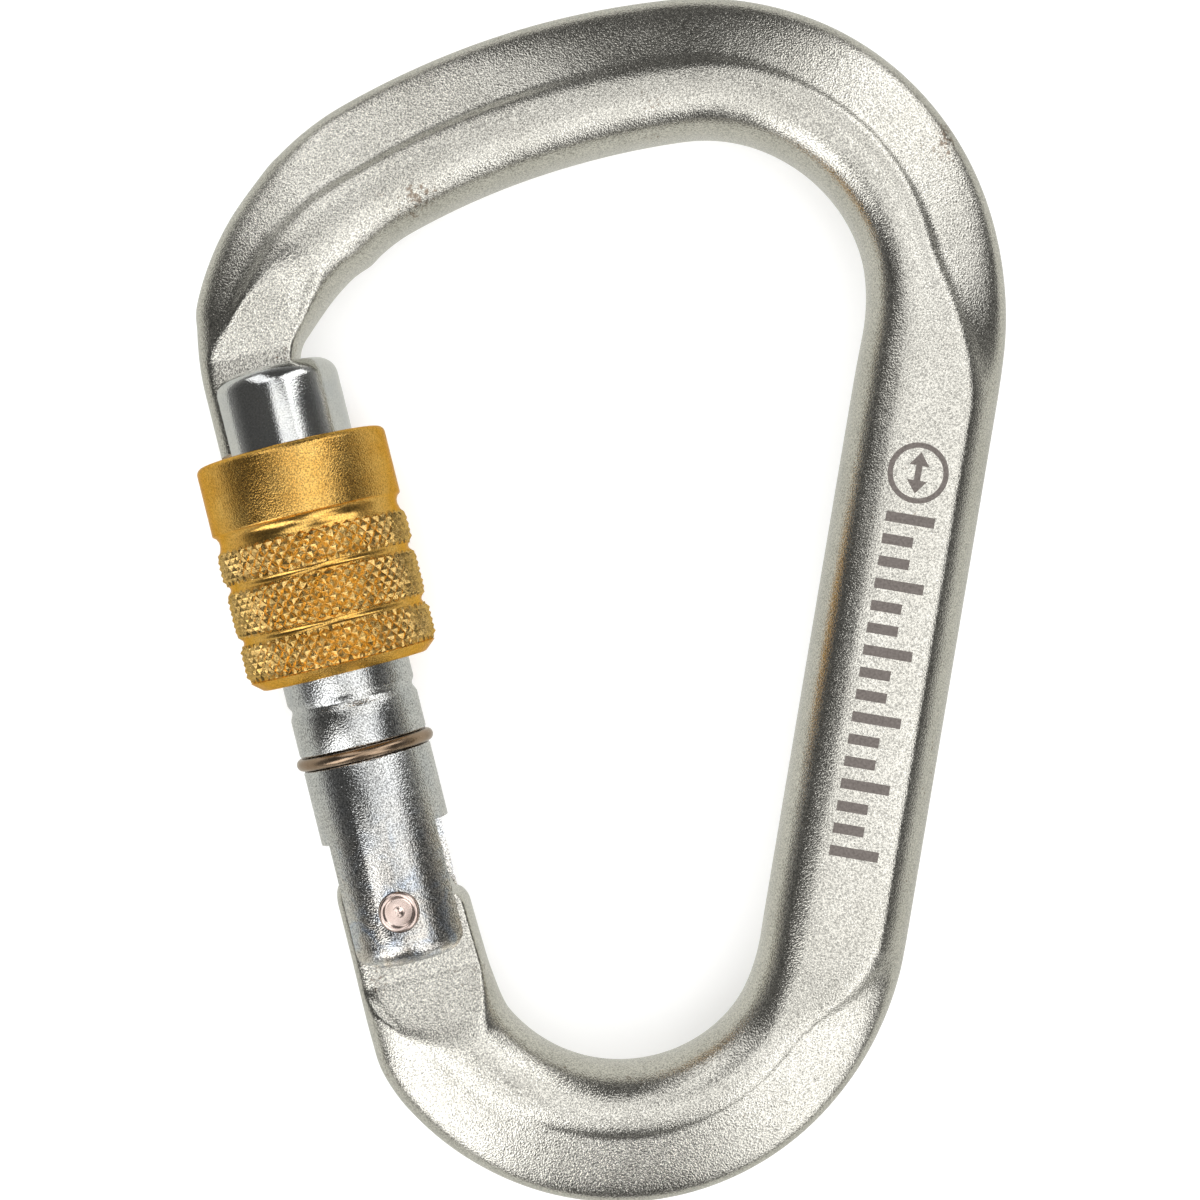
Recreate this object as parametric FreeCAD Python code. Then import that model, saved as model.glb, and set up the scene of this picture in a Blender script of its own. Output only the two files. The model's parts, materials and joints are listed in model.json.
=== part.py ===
"""Steel screw-gate carabiner, lying flat: the spine runs along +Y and the body's thickness along +Z.

Seven pieces: the forged body, the gate barrel, the hinge rivet, the gate spring, its plunger,
the screw sleeve and the wire stop ring. All lengths are in millimetres, angles in degrees.
"""
import FreeCAD
import Part
import math
import os
from FreeCAD import Vector

os.makedirs("parts", exist_ok=True)

# Whole object
MID_Z = 9.25                 # height of the middle plane: the sleeve's radius, as it rests on the table
RIVET_X = -9.40              # hinge rivet's centre
RIVET_Y = -32.54
GATE_TILT = 23.6             # lean of the closed gate away from the spine's direction

# Body centreline: start point, heading, then arcs that bend to the right and one straight, the spine
START_X = -31.635
START_Y = 20.005
START_HEADING = 86.65
CENTRELINE = (
    ("arc", 22.32, 47.65),   # nose shoulder: radius, angle
    ("arc", 76.44, 22.44),   # long shallow top
    ("arc", 22.10, 88.75),   # top corner
    ("arc", 26.00, 17.81),
    ("line", 56.76, 0.0),    # spine: length
    ("arc", 24.70, 16.00),
    ("arc", 20.33, 122.54),  # narrow end basket
)
NOSE_END = 8.45              # where the nose's thinning ends, and the tang's begins, along the centreline
TANG_START = 191.0
SPINE_WIDTH = 13.66          # width of the bar, seen from above
ARCH_WIDTH = 13.3

# Upper half of the bar's section, from the inner edge (0) to the outer edge (1): position, height
SPINE_SECTION = ((0.0, 1.8), (0.06, 3.7), (0.16, 5.0), (0.293, 5.7),
                 (0.758, 5.7), (0.87, 4.9), (0.95, 3.3), (1.0, 1.5))
ARCH_SECTION = ((0.0, 2.4), (0.053, 4.1), (0.2, 5.35), (0.39, 5.35),
                (0.48, 5.15), (0.56, 4.0), (0.925, 3.2), (1.0, 1.4))
PLATE_HALF = 3.2             # half thickness of the nose plate and the hinge tang
NOSE_CHAMFER = 0.5           # on the nose plate's outer edges, which run inside the sleeve's cup
PLATE_SECTION = ((0.0, 2.6), (0.04, 3.1), (0.2, 3.1), (0.39, 3.1),
                 (0.565, 3.1), (0.62, 3.1), (0.96, 3.1), (1.0, 2.6))

# Gate, measured from the rivet along the gate's own axis (a) and across it (v, towards the opening)
BARREL_R = 6.15
BARREL_BOTTOM = -5.1
BARREL_TOP = 52.4
BARREL_FILLET = 1.8
SLOT_HALF = 3.4              # half width of the slots for the tang and the nose
TANG_SLOT_END = 7.3
NOSE_SLOT_END = 44.4
NOSE_SLOT_WALL = 3.3         # the nose slot is open on the outer side and closed here
TOOTH_TIP = 0.9
TOOTH_LOW = 48.6
TOOTH_HIGH = 50.0
LINE_GROOVE = 20.15          # fine groove turned round the barrel
THREAD_LOW = 25.0
THREAD_HIGH = 36.0
THREAD_ROOT_R = 5.8

# Spring plunger in the barrel
PLUNGER_V = 1.8
PLUNGER_R = 1.85
PLUNGER_BORE_R = 1.92
PLUNGER_TIP = 2.13
PLUNGER_END = 12.5
SPRING_END = 22.0
SPRING_COIL_R = 1.5
SPRING_WIRE = 0.5
SPRING_TURNS = 9

# Rivet
RIVET_R = 1.5
RIVET_HEAD_R = 1.88
RIVET_SEAT = 5.75
RIVET_TOP = 6.3

# Stop ring
RING_A = 15.1
RING_WIRE = 1.2
RING_R = 6.04
RING_GAP = 5.0               # degrees of the ring left open

# Sleeve
SLEEVE_LOW = 22.8
SLEEVE_HIGH = 44.7
SLEEVE_BORE_R = 6.35
SLEEVE_CUP_R = 8.1           # wide upper bore that closes over the nose
SLEEVE_CUP_LOW = 37.0

TILT = math.radians(GATE_TILT)
AXIS = Vector(-math.sin(TILT), math.cos(TILT), 0)
ACROSS = Vector(math.cos(TILT), math.sin(TILT), 0)
UP = Vector(0, 0, 1)
RIVET = Vector(RIVET_X, RIVET_Y, MID_Z)


def at_gate(v, a, z=0.0):
    """A point given across and along the gate, and above the middle plane."""
    return RIVET + ACROSS * v + AXIS * a + UP * z


def polygon(points):
    """A closed wire through the points."""
    return Part.makePolygon(list(points) + [points[0]])


def slab(points, half):
    """A flat plate with the given outline, the same thickness either side of the middle plane."""
    outline = polygon([at_gate(v, a, -half) for v, a in points])
    return Part.Face(outline).extrude(UP * (2 * half))


def turned(profile):
    """A body of revolution about the gate's axis. The profile holds (radius, distance along the axis)."""
    wire = polygon([at_gate(r, a) for r, a in profile])
    return Part.Face(wire).revolve(RIVET, AXIS, 360)


def rounded(centre_r, centre_a, radius, first, last, steps=6):
    """Points of a rounded corner in a turned profile."""
    points = []
    for i in range(steps + 1):
        angle = math.radians(first + (last - first) * i / steps)
        points.append((centre_r + radius * math.cos(angle), centre_a + radius * math.sin(angle)))
    return points


# ---------------------------------------------------------------- forged body

def on_centreline(s):
    """Point of the centreline at distance s, its heading there, and the bend's radius (0 on the spine)."""
    x, y, heading = START_X, START_Y, math.radians(START_HEADING)
    for kind, size, angle in CENTRELINE:
        length = size if kind == "line" else size * math.radians(angle)
        part = min(s, length)
        radius = 0.0 if kind == "line" else size
        if kind == "line":
            x += part * math.cos(heading)
            y += part * math.sin(heading)
        else:
            cx = x + size * math.sin(heading)
            cy = y - size * math.cos(heading)
            heading -= part / size
            x = cx - size * math.sin(heading)
            y = cy + size * math.cos(heading)
        s -= length
        if s < 0:
            break
    return Vector(x, y, MID_Z), heading, radius


def mixed(first, second, share):
    """A section part way from the first to the second."""
    return [(t0 + (t1 - t0) * share, z0 + (z1 - z0) * share)
            for (t0, z0), (t1, z1) in zip(first, second)]


def section(outer, inner, half_section):
    """Closed wire of one section of the bar."""
    upper = [inner + (outer - inner) * t + UP * z for t, z in half_section]
    lower = [inner + (outer - inner) * t - UP * z for t, z in reversed(half_section)]
    return polygon(upper + lower)


def gate_section(outer, inner, share):
    """A section whose edges are given in gate distances, part way from the plate to the arch."""
    return section(at_gate(*outer), at_gate(*inner), mixed(PLATE_SECTION, ARCH_SECTION, share))


def bar_section(s, share):
    """A section on the centreline, part way from the spine to the arch."""
    middle, heading, radius = on_centreline(s)
    half = (SPINE_WIDTH + (ARCH_WIDTH - SPINE_WIDTH) * share) / 2
    left = Vector(-math.sin(heading), math.cos(heading), 0) * half
    return section(middle + left, middle - left, mixed(SPINE_SECTION, ARCH_SECTION, share))


def swept(first, last, share):
    """Skin of the bar between two distances on one bend, or on the spine, with the same section throughout."""
    wire = bar_section(first, share)
    middle, heading, radius = on_centreline(first)
    if radius == 0:
        return wire.extrude(Vector(math.cos(heading), math.sin(heading), 0) * (last - first)).Faces
    centre = middle + Vector(math.sin(heading), -math.cos(heading), 0) * radius
    return wire.revolve(centre, UP, -math.degrees((last - first) / radius)).Faces


def blended(wires):
    """Skin of the bar through a row of sections."""
    return Part.makeLoft(wires, False, True).Faces


def bar():
    """The bent bar: thin at the nose, flanged round both ends, oval with a flat land on the spine."""
    bends = [0.0]
    for kind, size, angle in CENTRELINE:
        bends.append(bends[-1] + (size if kind == "line" else size * math.radians(angle)))
    nose = [gate_section((-6.5, 51.6), (2.75, 52.0), 0.0), gate_section((-6.42, 53.6), (3.2, 53.7), 0.02),
            gate_section((-6.2, 56.4), (4.5, 55.0), 0.15), gate_section((-5.32, 60.1), (6.1, 56.4), 0.5),
            gate_section((-3.0, 64.3), (8.0, 57.8), 0.85), bar_section(NOSE_END, 1.0)]
    upper = [bar_section(s, share) for s, share in
             ((bends[3], 1.0), (85.5, 0.8), (88.0, 0.52), (bends[4], 0.25), (93.5, 0.07), (97.0, 0.0))]
    lower = [bar_section(s, share) for s, share in
             ((142.0, 0.0), (bends[5], 0.12), (151.0, 0.35), (bends[6], 0.6), (158.0, 0.85), (161.5, 1.0))]
    tang = [bar_section(TANG_START, 1.0), bar_section(194.5, 0.95),
            gate_section((-6.18, -14.5), (6.75, -10.6), 0.75), gate_section((-6.1, -11.0), (6.5, -8.4), 0.3),
            gate_section((-5.95, -7.4), (6.35, -6.6), 0.02), gate_section((-5.9, -5.2), (6.25, -4.6), 0.0)]
    faces = [Part.Face(nose[0]), Part.Face(tang[-1])]
    for wires in (nose, upper, lower, tang):
        faces += blended(wires)
    for first, last, share in ((NOSE_END, bends[1], 1.0), (bends[1], bends[2], 1.0), (bends[2], bends[3], 1.0),
                               (97.0, 142.0, 0.0), (161.5, TANG_START, 1.0)):
        faces += swept(first, last, share)
    skin = Part.makeShell(faces)
    skin.sewShape()
    return Part.makeSolid(skin)


def frame():
    """Forged body with its hooked nose plate and its hinge tang."""
    tip_r = 45.6             # the nose ends on an arc about the rivet, clear of the sleeve's swing
    tip = []
    for v in (-6.57, -4.2, -1.8, 0.6, 3.0):
        tip.append((v, math.sqrt(tip_r ** 2 - v ** 2)))
    nose_plate = slab(tip + [(3.0, 48.3), (0.6, 48.3), (0.6, 50.2), (2.8, 50.2), (2.86, 52.6),
                             (3.42, 54.1), (2.0, 55.2), (-5.6, 55.2), (-6.5, 54.0), (-6.57, 51.6)], PLATE_HALF)
    back = [edge for edge in nose_plate.Edges if edge.Length > 1
            and all((vertex.Point - RIVET).dot(ACROSS) < -6.45 and abs(vertex.Point.z - MID_Z) > 3
                    for vertex in edge.Vertexes)]
    nose_plate = nose_plate.makeChamfer(NOSE_CHAMFER, back)
    corner = rounded(-4.5, 2.4, 1.5, 180, 90)
    tang_plate = slab([(-5.6, -8.6), (-6.0, -6.9)] + corner
                      + [(-0.8, 3.9), (-0.3, 2.1), (4.6, 2.1), (5.3, 0.3)]
                      + rounded(5.5, -0.75, 0.75, 90, 0)
                      + [(6.3, -2.9), (6.42, -6.2), (6.2, -7.6)], PLATE_HALF)
    hole = Part.makeCylinder(RIVET_R + 0.05, 20, at_gate(0, 0, -10), UP)
    return bar().fuse([nose_plate, tang_plate]).cut(hole).removeSplitter()


# ---------------------------------------------------------------- gate

def gate_barrel():
    """Turned gate, slotted at the foot for the tang and at the head for the nose."""
    r = BARREL_R
    f = BARREL_FILLET
    profile = [(0, BARREL_BOTTOM)]
    profile += rounded(r - f, BARREL_BOTTOM + f, f, -90, 0)
    profile += [(r, RING_A - 0.7), (RING_R - RING_WIRE / 2 - 0.04, RING_A - 0.7),
                (RING_R - RING_WIRE / 2 - 0.04, RING_A + 0.7), (r, RING_A + 0.7)]
    profile += [(r, LINE_GROOVE - 0.6), (r - 0.3, LINE_GROOVE), (r, LINE_GROOVE + 0.6)]
    profile += [(r, THREAD_LOW - 0.4), (THREAD_ROOT_R, THREAD_LOW),
                (THREAD_ROOT_R, THREAD_HIGH), (r, THREAD_HIGH + 0.4)]
    profile += rounded(r - f, BARREL_TOP - f, f, 0, 90)
    profile += [(0, BARREL_TOP)]
    body = turned(profile)
    tang_slot = slab([(-8, BARREL_BOTTOM - 1), (8, BARREL_BOTTOM - 1), (8, TANG_SLOT_END),
                      (-8, TANG_SLOT_END)], SLOT_HALF)
    nose_slot = slab([(-8, NOSE_SLOT_END), (NOSE_SLOT_WALL, NOSE_SLOT_END), (NOSE_SLOT_WALL, TOOTH_LOW),
                      (TOOTH_TIP, TOOTH_LOW), (TOOTH_TIP, TOOTH_HIGH), (NOSE_SLOT_WALL, TOOTH_HIGH),
                      (NOSE_SLOT_WALL, BARREL_TOP + 1), (-8, BARREL_TOP + 1)], SLOT_HALF)
    bore = Part.makeCylinder(PLUNGER_BORE_R, SPRING_END + 0.05, at_gate(PLUNGER_V, 0), AXIS)
    rivet_hole = Part.makeCylinder(RIVET_R + 0.01, 20, at_gate(0, 0, -10), UP)
    seats = [Part.makeCylinder(RIVET_HEAD_R + 0.04, 3, at_gate(0, 0, side * (RIVET_SEAT + 1.5) - 1.5), UP)
             for side in (-1, 1)]
    return body.cut([tang_slot, nose_slot, bore, rivet_hole] + seats)


def hinge_rivet():
    """Rivet with a dished head on each face of the gate."""
    shank = Part.makeCylinder(RIVET_R, 2 * RIVET_SEAT + 0.4, at_gate(0, 0, -RIVET_SEAT - 0.2), UP)
    half = [(0, RIVET_SEAT), (RIVET_HEAD_R, RIVET_SEAT), (RIVET_HEAD_R, RIVET_TOP - 0.25),
            (RIVET_HEAD_R - 0.12, RIVET_TOP - 0.05), (RIVET_HEAD_R - 0.3, RIVET_TOP),
            (1.4, RIVET_TOP - 0.06), (1.3, RIVET_TOP - 0.22), (0.4, RIVET_TOP - 0.22), (0, RIVET_TOP - 0.5)]
    heads = []
    for side in (-1, 1):
        wire = polygon([RIVET + Vector(r, 0, side * z) for r, z in half])
        heads.append(Part.Face(wire).revolve(RIVET, UP, 360))
    return shank.fuse(heads)


def spring_plunger():
    """Round-nosed pin that the spring presses onto the tang's seat."""
    nose_a = PLUNGER_TIP + PLUNGER_R
    pin = Part.makeCylinder(PLUNGER_R, PLUNGER_END - nose_a, at_gate(PLUNGER_V, nose_a), AXIS)
    nose = Part.makeSphere(PLUNGER_R, at_gate(PLUNGER_V, nose_a))
    return pin.fuse(nose).removeSplitter()


def return_spring():
    """Compression spring between the plunger and the blind end of its bore."""
    length = SPRING_END - PLUNGER_END - SPRING_WIRE - 0.1
    pitch = length / SPRING_TURNS
    path = Part.makeHelix(pitch, length, SPRING_COIL_R)
    start = Vector(SPRING_COIL_R, 0, 0)
    direction = Vector(0, SPRING_COIL_R * 2 * math.pi, pitch)
    ring = Part.Wire(Part.makeCircle(SPRING_WIRE / 2, start, direction))
    coil = Part.Wire(path).makePipeShell([ring], True, True)
    turn = FreeCAD.Rotation(Vector(0, 0, 1), AXIS)
    base = at_gate(PLUNGER_V, PLUNGER_END + 0.05 + SPRING_WIRE / 2)
    coil.Placement = FreeCAD.Placement(base, turn).multiply(coil.Placement)
    return coil


def stop_ring():
    """Wire ring snapped into the barrel's groove: the sleeve's lower stop."""
    ring = Part.makeTorus(RING_R, RING_WIRE / 2, Vector(0, 0, 0), Vector(0, 0, 1), -180, 180, 360 - RING_GAP)
    turn = FreeCAD.Rotation(ACROSS, AXIS.cross(ACROSS), AXIS, "ZXY")
    spin = FreeCAD.Rotation(Vector(0, 0, 1), 90 + RING_GAP / 2)
    ring.Placement = FreeCAD.Placement(at_gate(0, RING_A), turn.multiply(spin))
    return ring


# ---------------------------------------------------------------- sleeve

def locking_sleeve():
    """Knurled screw sleeve: three knurled bands, a plain head band and a wide upper bore."""
    profile = [(SLEEVE_BORE_R + 0.3, SLEEVE_LOW), (7.9, SLEEVE_LOW), (9.1, SLEEVE_LOW + 1.0)]
    for low, high in ((23.8, 27.4), (28.0, 32.6), (33.2, 36.5)):
        profile += [(9.25, low + 0.12), (9.25, high - 0.12), (8.7, high), (8.7, high + 0.6)]
    profile[-1] = (8.7, 38.0)
    profile += [(9.14, 38.25)]
    profile += rounded(9.14 - 0.6, SLEEVE_HIGH - 0.6, 0.6, 0, 90)
    profile += [(SLEEVE_CUP_R + 0.25, SLEEVE_HIGH), (SLEEVE_CUP_R, SLEEVE_HIGH - 0.25),
                (SLEEVE_CUP_R, SLEEVE_CUP_LOW + 0.9), (SLEEVE_BORE_R, SLEEVE_CUP_LOW),
                (SLEEVE_BORE_R, SLEEVE_LOW + 0.3)]
    return turned(profile)


PIECES = (("frame", frame), ("gate_barrel", gate_barrel), ("hinge_rivet", hinge_rivet),
          ("return_spring", return_spring), ("spring_plunger", spring_plunger),
          ("locking_sleeve", locking_sleeve), ("stop_ring", stop_ring))

for name, make in PIECES:
    shape = make()
    print(name, shape.isValid(), len(shape.Solids), round(shape.Volume, 1), shape.BoundBox)
    shape.exportStep("parts/" + name + ".step")
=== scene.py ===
"""Looks of the steel screw-gate carabiner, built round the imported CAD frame. Blender's lengths are in metres.
The object's own measures are written in millimetres, and MM turns them into metres."""
import json
import math
import random

import bmesh
import bpy
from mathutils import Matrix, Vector

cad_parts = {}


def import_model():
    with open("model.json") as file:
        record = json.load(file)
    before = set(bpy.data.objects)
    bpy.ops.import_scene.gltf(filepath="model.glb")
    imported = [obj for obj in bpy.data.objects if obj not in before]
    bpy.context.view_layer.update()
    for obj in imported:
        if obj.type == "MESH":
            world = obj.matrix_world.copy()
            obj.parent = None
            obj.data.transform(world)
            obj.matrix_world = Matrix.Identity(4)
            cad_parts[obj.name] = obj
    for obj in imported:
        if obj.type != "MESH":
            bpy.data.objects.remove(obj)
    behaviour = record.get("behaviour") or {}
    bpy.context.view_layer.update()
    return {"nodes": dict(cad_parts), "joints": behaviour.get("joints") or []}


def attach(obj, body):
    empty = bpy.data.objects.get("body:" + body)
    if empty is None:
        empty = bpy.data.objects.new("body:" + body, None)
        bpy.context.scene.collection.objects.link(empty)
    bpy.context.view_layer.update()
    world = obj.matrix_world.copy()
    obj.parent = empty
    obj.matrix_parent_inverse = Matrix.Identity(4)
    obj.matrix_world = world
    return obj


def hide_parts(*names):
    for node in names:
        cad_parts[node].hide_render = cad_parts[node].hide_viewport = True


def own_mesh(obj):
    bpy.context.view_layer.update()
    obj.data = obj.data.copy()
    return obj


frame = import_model()
random.seed(7)
MM = 0.001                   # one millimetre in metres

# Where things are, from the frame
HINGE = next(joint for joint in frame["joints"] if joint["name"] == "gate_hinge")
SCREW = next(joint for joint in frame["joints"] if joint["name"] == "sleeve_turn")
RIVET = Vector(HINGE["pos_m"])
AXIS = Vector(SCREW["axis"]).normalized()
ACROSS = AXIS.cross(Vector((0, 0, 1)))
UP = Vector((0, 0, 1))
MID_Z = RIVET.z


def at_gate(v, a, z=0.0):
    """Point given in millimetres across the gate, along it, and above the middle plane."""
    return RIVET + (ACROSS * v + AXIS * a + UP * z) * MM


# ---------------------------------------------------------------- meshes

def new_object(name, points, faces, surface, smooth_angle=35.0):
    """A mesh object with smooth shading across edges flatter than smooth_angle."""
    mesh = bpy.data.meshes.new(name)
    mesh.from_pydata([tuple(p) for p in points], [], faces)
    mesh.validate()
    work = bmesh.new()
    work.from_mesh(mesh)
    bmesh.ops.recalc_face_normals(work, faces=work.faces)
    work.to_mesh(mesh)
    work.free()
    mesh.materials.append(surface)
    piece = bpy.data.objects.new(name, mesh)
    bpy.context.scene.collection.objects.link(piece)
    shade(piece, smooth_angle)
    return piece


def shade(piece, smooth_angle=35.0):
    """Smooth shading, with edges sharper than the angle kept crisp."""
    piece.data.shade_smooth()
    piece.data.set_sharp_from_angle(angle=math.radians(smooth_angle))


def rounded(points):
    """Cuts the corners of an open line of points twice, so that it runs in small curves."""
    for i in range(2):
        softer = [points[0]]
        for (x0, y0), (x1, y1) in zip(points, points[1:]):
            softer.append((0.75 * x0 + 0.25 * x1, 0.75 * y0 + 0.25 * y1))
            softer.append((0.25 * x0 + 0.75 * x1, 0.25 * y0 + 0.75 * y1))
        softer.append(points[-1])
        points = softer
    return points


def turned(name, profile, surface, steps=192, closed=True):
    """A body turned about the gate's axis. The profile holds (radius, distance along the axis)."""
    points = []
    for i in range(steps):
        angle = 2 * math.pi * i / steps
        out = ACROSS * math.cos(angle) + UP * math.sin(angle)
        points += [RIVET + (out * r + AXIS * a) * MM for r, a in profile]
    n = len(profile)
    faces = []
    for i in range(steps):
        here = i * n
        there = ((i + 1) % steps) * n
        for j in range(n if closed else n - 1):
            k = (j + 1) % n
            faces.append((here + j, there + j, there + k, here + k))
    return new_object(name, points, faces, surface)


def between_rings(count, around):
    """Faces between neighbouring rings of points: count rings, each with the same number of points."""
    faces = []
    for i in range(count - 1):
        for j in range(around):
            k = (j + 1) % around
            here = i * around
            there = here + around
            faces.append((here + j, here + k, there + k, there + j))
    return faces


def tube(name, rings, surface):
    """Skin over rings of points, closed at both ends."""
    around = len(rings[0])
    points = [point for ring in rings for point in ring]
    first_end = tuple(range(around))
    last_end = tuple(range(len(points) - 1, len(points) - 1 - around, -1))
    faces = [first_end, last_end] + between_rings(len(rings), around)
    return new_object(name, points, faces, surface, 60.0)


def circle(centre, side, other, radius, steps):
    """Points round a circle in the plane of two directions, with its radius in metres."""
    angles = [2 * math.pi * i / steps for i in range(steps)]
    return [centre + (side * math.cos(t) + other * math.sin(t)) * radius for t in angles]


def block(corners, half):
    """A plain prism, used only as a cutter: corners in gate distances, half its thickness."""
    rings = [[at_gate(v, a, z) for v, a in corners] for z in (-half, half)]
    return tube("cutter", rings, METALS["gate"])


def rod(start, end, radius):
    """A round cutter between two points, with its radius in millimetres."""
    along = (end - start).normalized()
    side = along.orthogonal().normalized()
    rings = [circle(centre, side, along.cross(side), radius * MM, 96) for centre in (start, end)]
    return tube("cutter", rings, METALS["gate"])


def cut(piece, cutters):
    """Takes the cutters out of the piece."""
    for cutter in cutters:
        change = piece.modifiers.new("cut", "BOOLEAN")
        change.operation = "DIFFERENCE"
        change.solver = "EXACT"
        change.object = cutter
        apply_modifiers(piece)
        bpy.data.objects.remove(cutter)


def apply_modifiers(piece):
    """Makes the piece's modifiers permanent."""
    shown = piece.evaluated_get(bpy.context.evaluated_depsgraph_get())
    mesh = bpy.data.meshes.new_from_object(shown)
    piece.modifiers.clear()
    piece.data = mesh


def ease_edges(piece, width):
    """Small rounds on the piece's sharp edges, of the given width in millimetres."""
    change = piece.modifiers.new("ease", "BEVEL")
    change.width = width * MM
    change.segments = 2
    change.limit_method = "ANGLE"
    change.angle_limit = math.radians(40.0)
    change.miter_outer = "MITER_ARC"
    apply_modifiers(piece)
    shade(piece)


# ---------------------------------------------------------------- materials

def material(name):
    """An empty node material and its shader."""
    made = bpy.data.materials.new(name)
    made.use_nodes = True
    shader = made.node_tree.nodes["Principled BSDF"]
    shader.inputs["Metallic"].default_value = 1.0
    return made, made.node_tree, shader


def noise(tree, size, detail=3.0, roughness=0.6, distortion=0.0):
    """Noise, the same in every direction, with features of about the given size in millimetres."""
    where = tree.nodes.new("ShaderNodeTexCoord")
    made = tree.nodes.new("ShaderNodeTexNoise")
    made.inputs["Scale"].default_value = 1.0 / (size * MM)
    made.inputs["Detail"].default_value = detail
    made.inputs["Roughness"].default_value = roughness
    made.inputs["Distortion"].default_value = distortion
    tree.links.new(where.outputs["Object"], made.inputs["Vector"])
    return made.outputs["Fac"]


def ramp(tree, value, stops):
    """Colours or greys against a value."""
    made = tree.nodes.new("ShaderNodeValToRGB")
    band = made.color_ramp
    while len(band.elements) < len(stops):
        band.elements.new(0.5)
    for element, (position, tone) in zip(band.elements, stops):
        element.position = position
        colour = tone if isinstance(tone, tuple) else (tone, tone, tone)
        element.color = (*colour, 1.0)
    tree.links.new(value, made.inputs["Fac"])
    return made.outputs["Color"]


def mixed(tree, share, first, second, way="MIX"):
    """Mixes two colours. The share and the colours may be plain values or sockets."""
    made = tree.nodes.new("ShaderNodeMix")
    made.data_type = "RGBA"
    made.blend_type = way
    for socket, value in ((made.inputs[0], share), (made.inputs[6], first), (made.inputs[7], second)):
        if isinstance(value, bpy.types.NodeSocket):
            tree.links.new(value, socket)
        elif isinstance(value, tuple):
            socket.default_value = (*value, 1.0)
        else:
            socket.default_value = value
    return made.outputs[2]


def bumps(tree, shader, layers):
    """Stacks bump layers, each with a height socket, a strength or its socket, and a depth in millimetres."""
    normal = None
    for height, strength, depth in layers:
        made = tree.nodes.new("ShaderNodeBump")
        if isinstance(strength, bpy.types.NodeSocket):
            tree.links.new(strength, made.inputs["Strength"])
        else:
            made.inputs["Strength"].default_value = strength
        made.inputs["Distance"].default_value = depth * MM
        tree.links.new(height, made.inputs["Height"])
        if normal:
            tree.links.new(normal, made.inputs["Normal"])
        normal = made.outputs["Normal"]
    tree.links.new(normal, shader.inputs["Normal"])


def blasted_steel():
    """Zinc-plated steel with a shot-blasted grain, a few brown specks and smoother worn patches. Its colour is
    darkened in the grain's low spots: painted shade in the pits, which also stands in for the grain's glints.
    """
    made, tree, shader = material("blasted_steel")
    cloud = ramp(tree, noise(tree, 9.0, 4.0), ((0.3, (0.74, 0.72, 0.65)), (0.7, (0.85, 0.83, 0.76))))
    grain = noise(tree, 0.165, 1.5, 0.6)
    # painted shade: the colour darkens where the grain is low, in its pits
    pit_shade = ramp(tree, grain, ((0.32, 0.40), (0.60, 1.0)))
    tone_and_pit_shade = mixed(tree, 0.9, cloud, pit_shade, "MULTIPLY")
    patches = noise(tree, 7.0, 2.0)
    dirt = mixed(tree, 0.55, noise(tree, 0.45, 4.0, 0.7), patches)
    specks = ramp(tree, dirt, ((0.0, 1.0), (0.34, 1.0), (0.37, 0.0)))
    spotted = mixed(tree, specks, tone_and_pit_shade, (0.30, 0.25, 0.20))
    tree.links.new(spotted, shader.inputs["Base Color"])
    rough = ramp(tree, noise(tree, 5.0, 3.0), ((0.3, 0.17), (0.7, 0.23)))
    tree.links.new(rough, shader.inputs["Roughness"])
    bumps(tree, shader, ((noise(tree, 2.5, 2.0, 0.5), 0.6, 0.06), (grain, 1.0, 0.042)))
    return made


def along_gate(tree, first, last):
    """0 to 1 between two distances along the gate, both in millimetres from the rivet."""
    where = tree.nodes.new("ShaderNodeTexCoord")
    dot = tree.nodes.new("ShaderNodeVectorMath")
    dot.operation = "DOT_PRODUCT"
    dot.inputs[1].default_value = AXIS
    tree.links.new(where.outputs["Object"], dot.inputs[0])
    scale = tree.nodes.new("ShaderNodeMapRange")
    start = RIVET.dot(AXIS)
    scale.inputs["From Min"].default_value = start + first * MM
    scale.inputs["From Max"].default_value = start + last * MM
    tree.links.new(dot.outputs["Value"], scale.inputs["Value"])
    return scale.outputs["Result"]


def plated_steel():
    """Bright zinc-plated gate: nearly mirror smooth at the head, pebbled towards the foot. Towards the foot its
    colour darkens in the pebbles' low spots: painted shade in the pits.
    """
    made, tree, shader = material("plated_steel")
    cloud = ramp(tree, noise(tree, 4.0, 3.0), ((0.3, (0.70, 0.715, 0.72)), (0.7, (0.80, 0.80, 0.77))))
    foot = along_gate(tree, 12.0, -7.0)
    blue = (0.60, 0.70, 0.86)
    grey = (0.82, 0.80, 0.76)
    brown = (0.84, 0.76, 0.66)
    tint = ramp(tree, noise(tree, 2.2, 2.0, 0.5, 0.8), ((0.3, blue), (0.5, grey), (0.7, brown)))
    pebbles = noise(tree, 0.16, 1.5, 0.55)
    # painted shade: the colour darkens where the pebbles are low, more so towards the foot
    pit_shade = ramp(tree, pebbles, ((0.33, 0.3), (0.58, 1.0)))
    plated = mixed(tree, foot, cloud, tint)
    share = ramp(tree, along_gate(tree, 46.0, 20.0), ((0.0, 0.25), (1.0, 0.9)))
    with_pit_shade = mixed(tree, share, plated, mixed(tree, 1.0, plated, pit_shade, "MULTIPLY"))
    tree.links.new(with_pit_shade, shader.inputs["Base Color"])
    smooth = along_gate(tree, 22.0, 42.0)
    rough = ramp(tree, smooth, ((0.0, 0.14), (1.0, 0.12)))
    tree.links.new(rough, shader.inputs["Roughness"])
    strength = ramp(tree, smooth, ((0.0, 1.0), (1.0, 0.3)))
    bumps(tree, shader, ((noise(tree, 2.2, 2.0), 0.3, 0.02), (pebbles, strength, 0.04)))
    return made


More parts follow.
